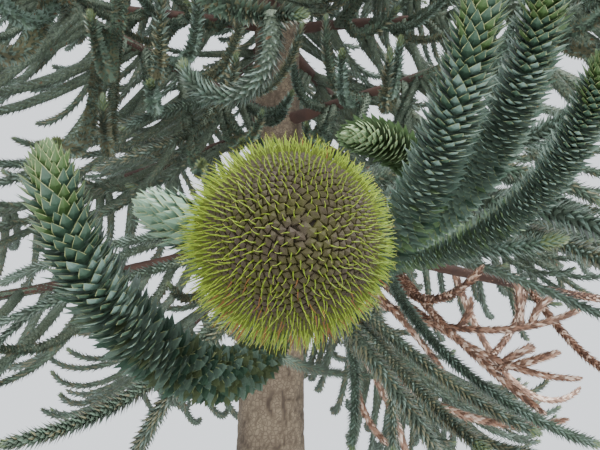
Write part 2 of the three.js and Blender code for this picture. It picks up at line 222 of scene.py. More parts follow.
def bark_relief(angle, height):
    """Cracks where two stretched noises pass through their middle value, wrinkles that ring the trunk,
    broad lumps, a swollen collar round each bough, and one knot. Gives the relief and how cracked it is."""
    wander = ring_noise(angle, height, *WANDER_NOISE) - 0.5
    cells = int(round(2 * np.pi * CHEST_RADIUS / PLATE_WIDTH))
    upright = ring_noise(angle + UPRIGHT_WANDER * wander, height, cells, PLATE_HEIGHT * 1.8, 2)
    level = ring_noise(angle, height + LEVEL_WANDER * wander, cells // 2, PLATE_HEIGHT, 3)
    crack = bell((upright - 0.5) / UPRIGHT_CRACK) + LEVEL_CRACK_DEPTH * bell((level - 0.5) / LEVEL_CRACK)
    crack = np.minimum(crack, 1) * (0.45 + 0.55 * ring_noise(angle, height, *WORN_NOISE))
    rings = ring_noise(angle, height + RING_WANDER * wander, *RING_NOISE) - 0.5
    lumps = ring_noise(angle, height, *LUMP_NOISE) - 0.5
    relief = -CRACK_DEPTH * crack + RING_DEPTH * rings + LUMP_DEPTH * lumps
    for bough in ALL_BOUGHS:
        away = patch_on_trunk(angle, height, bough_heading(*bough), bough_height(*bough), COLLAR_RADIUS)
        relief += COLLAR_DEPTH * bell(away)
    away = patch_on_trunk(angle, height, KNOT_HEADING, KNOT_HEIGHT, KNOT_RADIUS)
    relief += KNOT_DEPTH * (np.exp(-((away - KNOT_RIM) ** 2) / 0.1) - 0.9 * bell(away / KNOT_HOLLOW))
    return relief, crack


def even_turns(count):
    return np.arange(count) * 2 * np.pi / count


def trunk_grid(heights, around):
    """A grid of rings: the radius at each height, its root lobes and the bark's relief, carried round.
    The relief fades near the top and where the trunk is thin."""
    angle, height = np.meshgrid(even_turns(around), heights)
    relief, crack = bark_relief(angle, height)
    lobes = 1 + FLARE_DEPTH * np.cos(FLARE_LOBES * angle) * np.exp(-height / FLARE_HEIGHT)
    fade = np.clip((TRUNK_HEIGHT - height) / RELIEF_FADE, 0.15, 1)
    plain = trunk_radius(height)
    radius = plain * lobes + relief * fade * np.clip(plain / FULL_RELIEF_RADIUS, 0.3, 1)
    points = np.stack((radius * np.sin(angle), -radius * np.cos(angle), height), axis=-1)
    return points.reshape(-1, 3), crack.ravel()


def ring_corners(rings, around):
    """The four corners of each face between rings of points, in order so that the faces point outwards."""
    ring, place = np.meshgrid(np.arange(rings - 1), np.arange(around), indexing="ij")
    here = ring * around + place
    beside = ring * around + (place + 1) % around
    return np.stack((here, beside, beside + around, here + around), axis=-1).reshape(-1, 4)


def copied(corners, count, points):
    """The faces of many copies of a mesh, each numbered on from the one before by the mesh's points."""
    first = (np.arange(count) * points)[:, None, None]
    return (corners[None] + first).reshape(-1, corners.shape[1])


def closed_rings(rings, around):
    """Triangles over rings of points, with a fan at each end round one of the two points after them."""
    low = np.arange(around)
    high = low + (rings - 1) * around
    middle = np.full(around, rings * around)
    foot_fan = np.stack((middle, np.roll(low, -1), low), axis=-1)
    top_fan = np.stack((middle + 1, high, np.roll(high, -1)), axis=-1)
    return np.concatenate((triangles(ring_corners(rings, around)), foot_fan, top_fan))


def make_trunk(name, heights, around, materials):
    """The closed skin of the trunk, with the cracks kept as an attribute."""
    points, crack = trunk_grid(heights, around)
    points = np.concatenate((points, [(0, 0, heights[0]), (0, 0, heights[-1])]))
    piece = mesh_piece(name, points, closed_rings(len(heights), around), materials, smooth=True)
    attribute = piece.data.attributes.new("crack", "FLOAT", "POINT")
    attribute.data.foreach_set("value", np.append(crack, (0, 0)).astype(np.float32))
    return piece


def rgb(colour):
    """A colour as a screen shows it, from 0 to 255, as the linear values that a shader takes."""
    seen = np.array(colour) / 255
    linear = np.where(seen < 0.04045, seen / 12.92, ((seen + 0.055) / 1.055) ** 2.4)
    return (*linear, 1.0)


# The sockets of a Mix node that hold its two colours and their blend.
MIX_FIRST, MIX_SECOND, MIX_RESULT = 6, 7, 2
PATCH_EDGE = (0.38, 0.64)


def add_node(nodes, kind, **values):
    """A new shader node with some inputs set. An underscore in an input's name stands for a space."""
    node = nodes.new(f"ShaderNode{kind}")
    for label, value in values.items():
        node.inputs[label.replace("_", " ")].default_value = value
    return node


def join(source, output, target, entry):
    source.id_data.links.new(source.outputs[output], target.inputs[entry])


def mottle_group():
    """Blends two colours by soft noise over the object, for growth and weather that vary by place."""
    group = bpy.data.node_groups.new("mottle", "ShaderNodeTree")
    inputs = {"Vector": "Vector", "Colour": "Color", "Patches": "Color", "Scale": "Float"}
    for label, kind in inputs.items():
        group.interface.new_socket(name=label, in_out="INPUT", socket_type=f"NodeSocket{kind}")
    group.interface.new_socket(name="Colour", in_out="OUTPUT", socket_type="NodeSocketColor")
    given = group.nodes.new("NodeGroupInput")
    result = group.nodes.new("NodeGroupOutput")
    noise = add_node(group.nodes, "TexNoise", Detail=4)
    spread = add_node(group.nodes, "MapRange", From_Min=PATCH_EDGE[0], From_Max=PATCH_EDGE[1])
    blend = add_node(group.nodes, "Mix")
    blend.data_type = "RGBA"
    join(given, "Vector", noise, "Vector")
    join(given, "Scale", noise, "Scale")
    join(noise, "Fac", spread, "Value")
    join(spread, "Result", blend, "Factor")
    join(given, "Colour", blend, MIX_FIRST)
    join(given, "Patches", blend, MIX_SECOND)
    join(blend, MIX_RESULT, result, "Colour")
    return group


mottle = mottle_group()


def mottled_finish(name, colour, patches, scale, roughness, bump_scale, bump_height):
    """A dull finish: two colours mottled over the object, and a fine noise that roughens the surface."""
    material = bpy.data.materials.new(name)
    material.use_nodes = True
    nodes = material.node_tree.nodes
    shader = nodes["Principled BSDF"]
    shader.inputs["Roughness"].default_value = roughness
    place = add_node(nodes, "TexCoord")
    mottling = nodes.new("ShaderNodeGroup")
    mottling.name = "mottling"
    mottling.node_tree = mottle
    for label, value in (("Colour", rgb(colour)), ("Patches", rgb(patches)), ("Scale", scale)):
        mottling.inputs[label].default_value = value
    grain = add_node(nodes, "TexNoise", Scale=bump_scale, Detail=6)
    bump = add_node(nodes, "Bump", Strength=0.6, Distance=bump_height)
    join(place, "Object", mottling, "Vector")
    join(place, "Object", grain, "Vector")
    join(mottling, "Colour", shader, "Base Color")
    join(grain, "Fac", bump, "Height")
    join(bump, "Normal", shader, "Normal")
    return material


def crack_finish(name, colour, patches, crack_colour, scale, roughness, cells_in_metre):
    """A mottled finish that darkens where the crack attribute is high, and between small cells."""
    material = mottled_finish(name, colour, patches, scale, roughness, 90, 0.004)
    nodes = material.node_tree.nodes
    crack = add_node(nodes, "Attribute")
    crack.attribute_name = "crack"
    cells = add_node(nodes, "TexVoronoi", Scale=cells_in_metre)
    cells.feature = "DISTANCE_TO_EDGE"
    between = add_node(nodes, "MapRange", From_Max=0.16, To_Min=0.65, To_Max=0)
    either = add_node(nodes, "Math")
    either.operation = "MAXIMUM"
    blend = add_node(nodes, "Mix")
    blend.data_type = "RGBA"
    blend.inputs[MIX_SECOND].default_value = rgb(crack_colour)
    join(nodes["Texture Coordinate"], "Object", cells, "Vector")
    join(cells, "Distance", between, "Value")
    join(between, "Result", either, 0)
    join(crack, "Fac", either, 1)
    join(either, "Value", blend, "Factor")
    join(nodes["mottling"], "Colour", blend, MIX_FIRST)
    join(blend, MIX_RESULT, nodes["Principled BSDF"], "Base Color")
    return material


bark = crack_finish("trunk_bark", (124, 111, 93), (95, 83, 70), (54, 43, 35), 5, 0.92, BARK_CELLS)
fine_heights = np.arange(0, FINE_TRUNK_TOP, FINE_RING_STEP)
upper_heights = np.linspace(FINE_TRUNK_TOP, TRUNK_HEIGHT, UPPER_RINGS)
trunk = make_trunk("trunk_bark", np.concatenate((fine_heights, upper_heights)), TRUNK_SIDES, [bark])
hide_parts("trunk")
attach(trunk, "root")

# The boughs
# Each bough is one limb that leaves the trunk from a swollen collar. The low ones sag and turn up at
# the tip, and the high ones rise. Near the trunk they have lost their leaves, and show ringed reddish bark.
ARC_STEPS = 24
BARE_SHARE = 8 / 24
BOUGH_RADIUS, BOUGH_TIP_RADIUS, BOUGH_SIDES = 0.046, 0.011, 8
# The pitch of a bough at its root and at its tip, each for the lowest and for the highest whorl.
ROOT_PITCHES, TIP_PITCHES, PITCH_BEND = (-18, 36), (16, 60), 3
CONE_BOUGH, DEAD_BOUGH = (0, 0), (0, 1)
CONE_CENTRE = np.array((0.014, -3.126, 1.758))
CONE_RADIUS = 0.0745
CONE_BOUGH_ROOT = np.array((0, -0.09, 2.832))
CONE_BOUGH_STEM = 2.2
CONE_STALK_RADIUS = 0.017
RING_SPACING, RING_SWELL, RINGED_SHARE = 0.035, 0.05, 0.4


def round_axis(reach, turn, level):
    """Points at a reach from the upright axis, a turn round it and a level."""
    return np.stack((reach * np.cos(turn), reach * np.sin(turn), level + 0 * turn), axis=-1)


def direction(heading, pitch):
    """The unit vector at a heading from +X towards +Y and a pitch above the level, both in degrees."""
    pitch = np.radians(pitch)
    return round_axis(np.cos(pitch), np.radians(heading), np.sin(pitch))


def angles_of(run, length=1):
    """The heading and the pitch of a run of some length, in degrees."""
    return np.degrees(np.arctan2(run[..., 1], run[..., 0])), np.degrees(np.arcsin(run[..., 2] / length))


def turned(first, second, angle):
    """The direction at an angle from the first of two towards the second."""
    return first * np.cos(angle)[..., None] + second * np.sin(angle)[..., None]


def unit(vectors):
    return vectors / np.linalg.norm(vectors, axis=-1)[..., None]


def arcs_of(start, heading, pitch, bend, length, radius):
    """Branches whose heading and pitch run from the root's to the tip's: the heading evenly, the pitch in
    the power `bend` of the way. Each keeps its stations, summed up from even steps, and its direction and
    radius at each. radius is a function of the way and the length."""
    start, heading, pitch = (np.atleast_2d(values).astype(float) for values in (start, heading, pitch))
    bend, length = (np.atleast_1d(values).astype(float)[:, None] for values in (bend, length))
    edge = np.tile(np.arange(ARC_STEPS + 1) / ARC_STEPS, (len(start), 1))
    middle = (edge[:, 1:] + edge[:, :-1]) / 2

    def headed(share):
        return direction(
            lerp(heading[:, :1], heading[:, 1:], share), lerp(pitch[:, :1], pitch[:, 1:], share**bend)
        )

    walked = np.cumsum(headed(middle) * (length / ARC_STEPS)[..., None], axis=1)
    return {
        "stations": np.concatenate((start[:, None], start[:, None] + walked), axis=1),
        "along": headed(edge),
        "radius": radius(edge, length),
        "length": length[:, 0] + np.zeros(len(start)),
    }


def places_on(arcs, owner, share):
    """For each owner arc and share of the way: the point, the directions along, to the side (level) and
    across, and the radius, all blended between the two nearest stations."""
    run = np.clip(share, 0, 1) * ARC_STEPS
    before = np.minimum(run.astype(int), ARC_STEPS - 1)
    part = run - before

    def between(key, blend):
        return lerp(arcs[key][owner, before], arcs[key][owner, before + 1], blend)

    point, along = between("stations", part[:, None]), unit(between("along", part[:, None]))
    side = unit(np.cross(along, (1e-6, 0, 1)))
    return point, along, side, np.cross(side, along), between("radius", part)


def join_arcs(*groups):
    return {key: np.concatenate([group[key] for group in groups]) for key in groups[0]}


def pick_arcs(arcs, chosen):
    return {key: values[chosen] for key, values in arcs.items()}


def outer_part(arcs, first, radius):
    """The same arcs from a share of the way to the tip, with new stations and a new radius."""
    count = len(arcs["length"])
    length = arcs["length"] * (1 - first)
    shares = np.linspace(first, 1, ARC_STEPS + 1)
    point, along, *_ = places_on(arcs, np.repeat(np.arange(count), len(shares)), np.tile(shares, count))
    return {
        "stations": point.reshape(count, -1, 3),
        "along": along.reshape(count, -1, 3),
        "radius": radius(np.tile(np.linspace(0, 1, ARC_STEPS + 1), (count, 1)), length[:, None]),
        "length": length,
    }


def limb_mesh(name, arcs, shares, sides, materials, relief=1):
    """Tubes along many arcs, joined: a ring of points at each share, as wide as the arc there times the
    relief, and one point at each end."""
    count, rings = len(arcs["length"]), len(shares)
    owner = np.repeat(np.arange(count), rings)
    point, _, side, across, radius = places_on(arcs, owner, np.tile(shares, count))
    spoke = turned(side[:, None], across[:, None], -even_turns(sides))
    width = radius.reshape(count, rings) * relief
    skin = (point[:, None] + spoke * width.reshape(-1, 1, 1)).reshape(count, -1, 3)
    ends = point.reshape(count, rings, 3)[:, [0, -1]]
    points = np.concatenate((skin, ends), axis=1).reshape(-1, 3)
    faces = copied(closed_rings(rings, sides), count, rings * sides + 2)
    return mesh_piece(name, points, faces, materials, smooth=True)


def bough_radius(share, length):
    """Thick at the trunk, tapering quickly and then slowly, and slimmer on a shorter bough."""
    taper = BOUGH_TIP_RADIUS + (BOUGH_RADIUS - BOUGH_TIP_RADIUS) * (1 - share) ** 1.7
    return (length / LONGEST_BOUGH) ** 0.6 * taper


def cone_bough_radius(share, length):
    return np.maximum(bough_radius(share, length), CONE_STALK_RADIUS)


def bough_arcs(boughs):
    """The boughs of the whorls by one rule: where each starts in the trunk, how it sags, and its length."""
    rows = []
    for whorl, number in boughs:
        rise = whorl_share(whorl)
        heading, height = bough_heading(whorl, number), bough_height(whorl, number)
        start = direction(heading, 0) * trunk_radius(height) / 2 + (0, 0, height)
        headings = (heading, heading + 10 * vary(whorl, number, 2))
        pitches = (lerp(*ROOT_PITCHES, rise) + 3 * vary(whorl, number, 3), lerp(*TIP_PITCHES, rise))
        length = bough_length(whorl) * (1 + 0.06 * vary(whorl, number, 4))
        rows.append((start, headings, pitches, PITCH_BEND, length))
    return arcs_of(*(np.array(column) for column in zip(*rows)), bough_radius)


def straight_arc(start, end, radius):
    run = end - start
    length = np.linalg.norm(run)
    heading, pitch = angles_of(run, length)
    return arcs_of(start, (heading, heading), (pitch, pitch), 1, length, radius)


whorl_boughs = [bough for bough in ALL_BOUGHS if bough != CONE_BOUGH]
boughs = bough_arcs(whorl_boughs)
cone_bough = straight_arc(CONE_BOUGH_ROOT, CONE_CENTRE, cone_bough_radius)
cone_bough_length = cone_bough["length"][0]

limb_bark = mottled_finish("bough_bark", (80, 58, 50), (60, 45, 40), 9, 0.9, 60, 0.006)
ringed_shares = np.linspace(0, RINGED_SHARE, 64)
limb_shares = np.concatenate((ringed_shares, np.linspace(RINGED_SHARE, 1, 12)[1:]))
limb_arcs = join_arcs(boughs, cone_bough)
ring_phase = limb_shares[None, :] * limb_arcs["length"][:, None] / RING_SPACING
old_rings = 1 + RING_SWELL * np.abs(np.sin(np.pi * ring_phase)) + 0.03 * np.sin(ring_phase * 0.9)
limbs = limb_mesh("boughs", limb_arcs, limb_shares, BOUGH_SIDES, [limb_bark], old_rings)
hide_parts(*[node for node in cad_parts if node.startswith("bough_")])
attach(limbs, "root")

# The foliage of the whorls
# Side shoots leave each bough on both sides, sag, and turn up at the tip. Each is a green twig clad all
# round in stiff, sharp, overlapping leaves that spiral along it, and ends in a fresh paler tuft.
SHOOT_SPACING, SHOOT_RANGE = 0.15, (0.06, 0.97)
LONGEST_SHOOT, SHORTEST_SHOOT = 1.45, 0.46
# The drop at a side shoot's root, the rise at its tip and its bend, in the lowest and in the highest whorl.
SHOOT_DROPS, SHOOT_RISES, SHOOT_BENDS = (26, 6), (34, 52), (2.6, 1.6)
# A side shoot's angle off its bough, how much less it is at the tip, and its turn inwards on the way.
LEAVE_ANGLE, LEAVE_CLOSING, LEAVE_SPREAD = 78, 36, 9
INWARD_TURN, INWARD_SPREAD = 26, 10
# Side shoots grow longer from a bough's root on, and shorter again towards its tip.
ROOT_FULLNESS, FULLNESS_GROWTH, TIP_THINNING, THINNING_BEND = 0.4, 1.7, 0.68, 2.2
LENGTH_SPREAD, DROP_SPREAD, RISE_SPREAD, SAG_SPREAD = 0.16, 13, 12, 0.5
# The sag of each layer of side shoots, and how many layers the sparser boughs have.
SHOOT_SAG = (0, 14, 34)
THIN_BOUGHS = {(0, 3): 1, (0, 4): 1, (1, 3): 2, (2, 3): 2}
HIGH_BARE_SHARE = 0.04
LEAF_LENGTH, LEAF_WIDTH, LEAF_KEEL = 0.038, 0.022, 0.003
GOLDEN_TURN = np.radians(137.508)
TWIG_RADIUS, TWIG_CELLS = 0.013, 85
TUFT_LENGTH, TUFT_CROWDING, TUFT_DEPTH = 0.035, 0.7, 0.03
TUFT_CLOSING, CLOSING_DEPTH, LEAN_SPREAD = 0.75, 0.026, 6
TUFT_SHRINKING, SHRINKING_DEPTH = 0.5, 0.016
REACH_SPARE, CLEAR_OF_EYE, CLEAR_OF_TRUNK = 0.15, 1.25, 0.05
FOOT_WINDOW = np.array(((-0.19, -2.9, 1.4), (0.22, -0.25, 2.35)))
IMAGE_WIDTH, IMAGE_HEIGHT, SENSOR_WIDTH = 600, 450, 36.0
MARGIN_BESIDE, MARGIN_ABOVE = 1.15, 1.2
DEPTH_LIMITS = (1.9, 3.3, 5.2)


def twig_radius(share, length):
    """Nearly even, and rounded off at the tip."""
    return TWIG_RADIUS * (1 - 0.3 * share) * np.sqrt(1 - 0.9 * share**6) + 0 * length


def side_shoots(whorl, number, row, layer):
    """Side shoots of one bough: they leave it on alternate sides, are longest a third of the way out, and
    turn towards its tip. The second and third layer leave it between the first, and sag more."""
    rise = whorl_share(whorl)
    count = round(bough_length(whorl) / SHOOT_SPACING)
    index = np.arange(count)
    share = lerp(*SHOOT_RANGE, (index + 0.5 + layer / len(SHOOT_SAG)) / count)
    start, along = places_on(boughs, np.full(count, row), share)[:2]
    heading, pitch = angles_of(along)
    side = np.where(index % 2 == 0, 1, -1)
    dealt = index + 50 * layer
    wander = vary(whorl * 7 + number, dealt, 5)
    leave = heading + side * (LEAVE_ANGLE - LEAVE_CLOSING * share + LEAVE_SPREAD * wander)
    growing = np.minimum(ROOT_FULLNESS + FULLNESS_GROWTH * share, 1)
    fullness = growing * (1 - TIP_THINNING * share**THINNING_BEND)
    length = lerp(LONGEST_SHOOT, SHORTEST_SHOOT, rise) * fullness
    length *= 1 + LENGTH_SPREAD * vary(whorl + number * 5, dealt, 6)
    sag = SHOOT_SAG[layer] * (1 - rise)
    low = pitch - lerp(*SHOOT_DROPS, rise) + DROP_SPREAD * vary(whorl, dealt + number * 3, 7) - sag
    high = lerp(*SHOOT_RISES, rise) - sag * (1 + SAG_SPREAD * vary(whorl, dealt, 8))
    high = high + RISE_SPREAD * vary(whorl, dealt + number, 9)
    headings = np.stack((leave, leave - side * (INWARD_TURN + INWARD_SPREAD * wander)), axis=-1)
    pitches = np.stack((low, high), axis=-1)
    return arcs_of(start, headings, pitches, lerp(*SHOOT_BENDS, rise), length, twig_radius)


def in_reach(arcs):
    """Whether a shoot stays within the tree's reach and off the trunk, and leaves room round the cone and
    in front of the trunk's foot."""
    stations = arcs["stations"]
    low, high = np.array(cad_box)
    inside = ((stations > low - REACH_SPARE) & (stations < high + REACH_SPARE)).all(axis=(1, 2))
    from_trunk = np.hypot(stations[..., 0], stations[..., 1]) - trunk_radius(stations[..., 2])
    off_trunk = (from_trunk[:, 4:] > CLEAR_OF_TRUNK).all(axis=1)
    off_eye = (np.linalg.norm(stations - CAMERA_PLACE, axis=2) > CLEAR_OF_EYE).all(axis=1)
    in_window = ((stations > FOOT_WINDOW[0]) & (stations < FOOT_WINDOW[1])).all(axis=2).any(axis=1)
    return inside & off_trunk & off_eye & ~in_window


def whorl_shoots(whorl):
    """All the leafy shoots of a whorl: the outer part of each bough, and its side shoots."""
    groups = []
    for row, bough in enumerate(whorl_boughs):
        if bough[0] == whorl and bough != DEAD_BOUGH:
            bare = BARE_SHARE if whorl < BARE_WHORLS else HIGH_BARE_SHARE
            groups.append(outer_part(pick_arcs(boughs, [row]), bare, twig_radius))
            for layer in range(THIN_BOUGHS.get(bough, len(SHOOT_SAG))):
                groups.append(side_shoots(whorl, bough[1], row, layer))
    shoots = join_arcs(*groups)
    return pick_arcs(shoots, in_reach(shoots))


def depth_in_view(arcs):
    """How far in front of the camera the nearest part of each shoot is, or infinity where it isn't seen."""
    offset = arcs["stations"][:, ::2] - CAMERA_PLACE
    forward, right = direction(90 - CAMERA_YAW, CAMERA_PITCH), direction(-CAMERA_YAW, 0)
    depth = offset @ forward
    focal = LENS / SENSOR_WIDTH * IMAGE_WIDTH
    away = np.maximum(depth, 0.1)
    level = np.abs(offset @ right) / away * focal < IMAGE_WIDTH / 2 * MARGIN_BESIDE
    upright = np.abs(offset @ np.cross(right, forward)) / away * focal < IMAGE_HEIGHT / 2 * MARGIN_ABOVE
    return np.where(level & upright & (depth > 0), depth, np.inf).min(axis=1)


def leaf_places(arcs, per_metre):
    """Leaves spiral back from the tip by the golden angle, and crowd there: the count within a distance is
    the distance and a part that levels off, times the number in a metre. Gives each leaf's owner, its share
    of the way, its turn and its distance from the tip."""
    distance = np.linspace(0, arcs["length"].max(), 4000)
    crowd = distance + TUFT_CROWDING * TUFT_DEPTH * (1 - np.exp(-distance / TUFT_DEPTH))
    counts = (np.interp(arcs["length"], distance, crowd) * per_metre).astype(int)
    owner = np.repeat(np.arange(len(counts)), counts)
    index = np.arange(counts.sum()) - np.repeat(np.cumsum(counts) - counts, counts)
    from_tip = np.interp((index + 0.5) / per_metre, crowd, distance)
    return owner, 1 - from_tip / arcs["length"][owner], index * GOLDEN_TURN + owner * 1.7, from_tip


def leaf_frames(arcs, owner, share, turn, from_tip, spread):
    """The root and the three directions of each leaf. It leans out from the twig by the spread, less near
    the shoot's tip, where the leaves close into a tuft."""
    point, along, side, across, radius = places_on(arcs, owner, share)
    out = turned(side, across, turn)
    closing = 1 - TUFT_CLOSING * np.exp(-from_tip / CLOSING_DEPTH)
    lean = spread * closing + LEAN_SPREAD * vary(np.arange(len(owner)), 1)
    forward = turned(along, out, np.radians(lean))
    wide = np.cross(along, out)
    return point + out * (0.8 * radius)[:, None], wide, forward, np.cross(wide, forward)


def plant_leaves(template, arcs, places, spread, size):
    """Every leaf is the template's points carried to the leaf's root along its three directions. Leaves are
    smaller in the tuft, and their size varies by a tenth."""
    root, wide, forward, out = leaf_frames(arcs, *places, spread)
    shrinking = 1 - TUFT_SHRINKING * np.exp(-places[-1] / SHRINKING_DEPTH)
    sizes = size * shrinking * (1 + 0.1 * vary(np.arange(len(root)), 2))
    points, corners, _ = template
    scaled = points[None] * sizes[:, None, None]
    placed = (
        root[:, None]
        + scaled[..., 0:1] * wide[:, None]
        + scaled[..., 1:2] * forward[:, None]
        + scaled[..., 2:3] * out[:, None]
    )
    return placed.reshape(-1, 3), copied(corners, len(root), len(points))


# The parts of a leaf's faces. The shade part, where shade falls on a leaf, takes a painted tone.
BLADE, SHADE_PART, RIM, INNER = 0, 1, 2, 3


def dart_leaf():
    """A leaf of four faces: a broad base with a keel under it, running to a sharp tip. One side of the
    keel and the foot are its shade part, which takes painted shade."""
    points = np.array([(-0.5, 0, 0), (0.5, 0, 0), (0, 0.05, 1.0), (0, 1, -1.2)])
    corners = np.array([(0, 2, 3), (2, 1, 3), (0, 3, 1), (0, 1, 2)])
    return points * (LEAF_WIDTH, LEAF_LENGTH, LEAF_KEEL), corners, np.array((BLADE, SHADE_PART, BLADE, SHADE_PART))


def leaf_finishes(*rows):
    """Finishes of leaves, each from its name, its colour and the colour of its patches."""
    return [mottled_finish(*row, 7, 0.5, 300, 0.0006) for row in rows]


dart = dart_leaf()
shoot_finishes = leaf_finishes(
    ("leaf_grey_green", (120, 140, 130), (102, 118, 108)),
    ("leaf_deep_green", (100, 121, 104), (84, 102, 88)),
    ("leaf_olive", (118, 116, 90), (100, 98, 78)),
    ("leaf_fresh", (112, 124, 84), (98, 110, 76)),
    ("leaf_dry", (112, 86, 62), (88, 68, 50)),
    ("leaf_shade", (76, 88, 76), (62, 72, 62)),
)
DEEP, FRESH, DRY, SHADED = 1, 3, 4, 5
GREENS, GREEN_SHARES = 3, (0.36, 0.68)
DRY_SHARE, SHADED_SHARE, OTHER_SHARE = 0.03, 0.24, 0.5
twig_green = crack_finish("twig_bark", (100, 114, 98), (86, 96, 78), (42, 50, 42), 12, 0.8, TWIG_CELLS)


def leaf_colours(owner, share, _, from_tip, seed):
    """Colours dealt out by spray: each shoot has one green, with leaves of the next green and shaded ones
    among them. Its tuft is fresh green, and some leaves near the roots of the older shoots have dried."""
    number = np.arange(len(owner))
    deal = (vary(owner, seed, 3) + 1) / 2
    green = (deal > GREEN_SHARES[0]).astype(int) + (deal > GREEN_SHARES[1])
    other = (vary(number, seed, 6) + 1) / 2
    next_green = (green + 1) % GREENS
    colour = np.select((other < SHADED_SHARE, other < OTHER_SHARE), (SHADED, next_green), green)
    colour = np.where(from_tip < TUFT_LENGTH * (1 + 0.5 * vary(owner, seed, 4)), FRESH, colour)
    dried = (vary(number, seed, 5) + 1) / 2 < DRY_SHARE * np.clip(1.6 - 3 * share, 0, 1)
    return np.where(dried, DRY, colour)


def leaf_piece(name, arcs, per_metre, size, spread, seed):
    """One joined mesh of all the leaves of some shoots, with their colours dealt out. Each leaf's shade
    part is painted shade: the shade green on old leaves and the deep green on fresh ones.
    """
    places = leaf_places(arcs, per_metre)
    points, corners = plant_leaves(dart, arcs, places, spread, size)
    colours = leaf_colours(*places, seed)[:, None]
    # Painted shade on one side of each keel and on each foot.
    below = dart[2] == SHADE_PART
    colours = np.select((below & (colours < FRESH), below & (colours == FRESH)), (SHADED, DEEP), colours)
    return mesh_piece(name, points, corners, shoot_finishes, colours.ravel())


def twig_piece(name, arcs, materials, sides, rings, swell=1):
    """Twigs fattened by the swell at the root, and less and less towards the tip."""
    shares = np.linspace(0, 1, rings)
    return limb_mesh(name, arcs, shares, sides, materials, 1 + (swell - 1) * (1 - shares**2))


def dress_shoots(name, arcs, fineness, seed):
    """The twigs and the leaves of some shoots, shared out in order among few enough and small pieces."""
    per_metre, size, spread, sides, rings, swell = fineness
    faces = np.cumsum(arcs["length"] * per_metre * len(dart[1])) * TUFT_SPARE
    group = (faces // MOST_FACES).astype(int)
    for number in range(group.max() + 1):
        part = pick_arcs(arcs, group == number)
        leaves = leaf_piece(f"leaves_{name}_{number + 1}", part, per_metre, size, spread, seed)
        twigs = twig_piece(f"twigs_{name}_{number + 1}", part, [twig_green], sides, rings, swell)
        for piece in (leaves, twigs):
            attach(piece, "root")
    return leaves


def whorl_nodes(whorl):
    return [f"foliage_{w + 1}_{n + 1}" for w, n in whorl_boughs if w == whorl and (w, n) != DEAD_BOUGH]


MOST_FACES, TUFT_SPARE = 150000, 1.1
# By depth: the leaves in a metre, their size and spread, and the twig's sides, rings and swell.
FINENESS = {
    "near": (950, 0.8, 60, 8, 17, 1.5),
    "middle": (420, 1.02, 50, 6, 10, 2.2),
    "seen": (210, 1.3, 46, 6, 8, 2.6),
    "rest": (64, 1.8, 42, 5, 6, 2.7),
}
for whorl in range(len(BOUGHS_IN_WHORL)):
    shoots = whorl_shoots(whorl)
    rank = np.searchsorted(DEPTH_LIMITS, depth_in_view(shoots))
    for place, (label, fineness) in enumerate(FINENESS.items()):
        if (rank == place).any():
            part = pick_arcs(shoots, rank == place)
            last_leaves = dress_shoots(f"{whorl + 1}_{label}", part, fineness, whorl)
    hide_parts(*whorl_nodes(whorl))

# The cone's bough
# The lowest front bough runs straight out to the cone at its end. Its long shoots hang, hook and turn up
# round the cone, and the nearest of them show every leaf, with a pale horny rim.

# Shoots set one by one: each row has the place on its bough, the headings and the pitches of its root and
# its tip, its bend and its length. A fork's row starts with the number of the shoot that bears it.
CLOSE_SHOOTS = [
    (0.803, (276, 227), (-53, 76), 2.0, 0.85),
    (0.932, (230, 188), (-9, 34), 3.1, 0.175),
    (0.799, (297, 278), (-79, 54), 0.6, 0.79),
    (0.702, (307, 267), (-23, 42), 1.9, 1.02),
    (0.773, (350, 263), (-34, 35), 0.8, 0.80),
]
CLOSE_FORKS = [(3, 0.558, (267, 209), (29, -15), 1.0, 0.30)]
PALE_SHOOT, FORK_SHOOT = 1, 5
CLOSE_SIZES = np.array((0.8, 1.05, 0.85, 0.82, 0.8, 0.86))
CLOSE_SPREADS = np.array((82, 62, 82, 82, 82, 64))
FURTHER_SHOOTS = {
    CONE_BOUGH: [
        (0.652, (329, 305), (4, 11), 1.6, 0.93),
        (0.640, (334, 323), (-19, 3), 1.6, 0.75),
        (0.727, (313, 328), (3, -39), 1.6, 0.77),
        (0.609, (310, 358), (17, -34), 1.6, 0.93),
        (0.593, (340, 312), (26, -41), 0.6, 1.03),
        (0.567, (392, 300), (75, -56), 0.7, 1.27),
        (0.485, (336, 344), (-45, -23), 4.0, 1.08),
        (0.429, (285, 477), (3, -89), 0.6, 1.10),
        (0.472, (343, 306), (-50, -32), 4.0, 1.06),
        (0.240, (331, 349), (-2, -32), 0.6, 1.66),
        (0.519, (495, 349), (-50, -2), 0.6, 1.25),
        (0.613, (309, 380), (-52, -57), 1.7, 0.77),
        (0.352, (397, 215), (-30, -82), 0.6, 1.06),
        (0.488, (364, 331), (-58, -5), 2.4, 1.16),
        (0.298, (233, 158), (-12, -20), 1.1, 1.26),
        (0.584, (200, 212), (-62, -10), 1.6, 0.96),
        (0.568, (255, 115), (-58, -47), 1.6, 0.87),
    ],
    (0, 4): [
        (0.020, (278, 180), (-20, -27), 0.8, 1.94),
        (0.088, (262, 191), (11, -54), 0.6, 1.65),
        (0.304, (186, 196), (-85, -4), 1.3, 0.89),
    ],
    (1, 0): [
        (0.357, (179, 362), (-64, -15), 4.0, 2.37),
    ],
    (1, 4): [
        (0.424, (309, 274), (-83, 60), 2.8, 1.16),
        (0.222, (303, 155), (-44, -4), 3.1, 1.10),
        (0.148, (307, 190), (-30, -36), 1.3, 1.41),
        (0.229, (323, 149), (-58, -3), 2.3, 1.17),
    ],
    (2, 0): [
        (0.698, (157, 336), (-88, -14), 4.0, 2.26),
    ],
}
FURTHER_FORKS = [(25, 0.966, (75, 239), (-89, 53), 1.3, 0.34)]
MIDDLE_DEPTH = 2.3
CLOSE_LEAVES_IN_METRE, CLOSE_ROOT_SIZE = 1800, 0.8
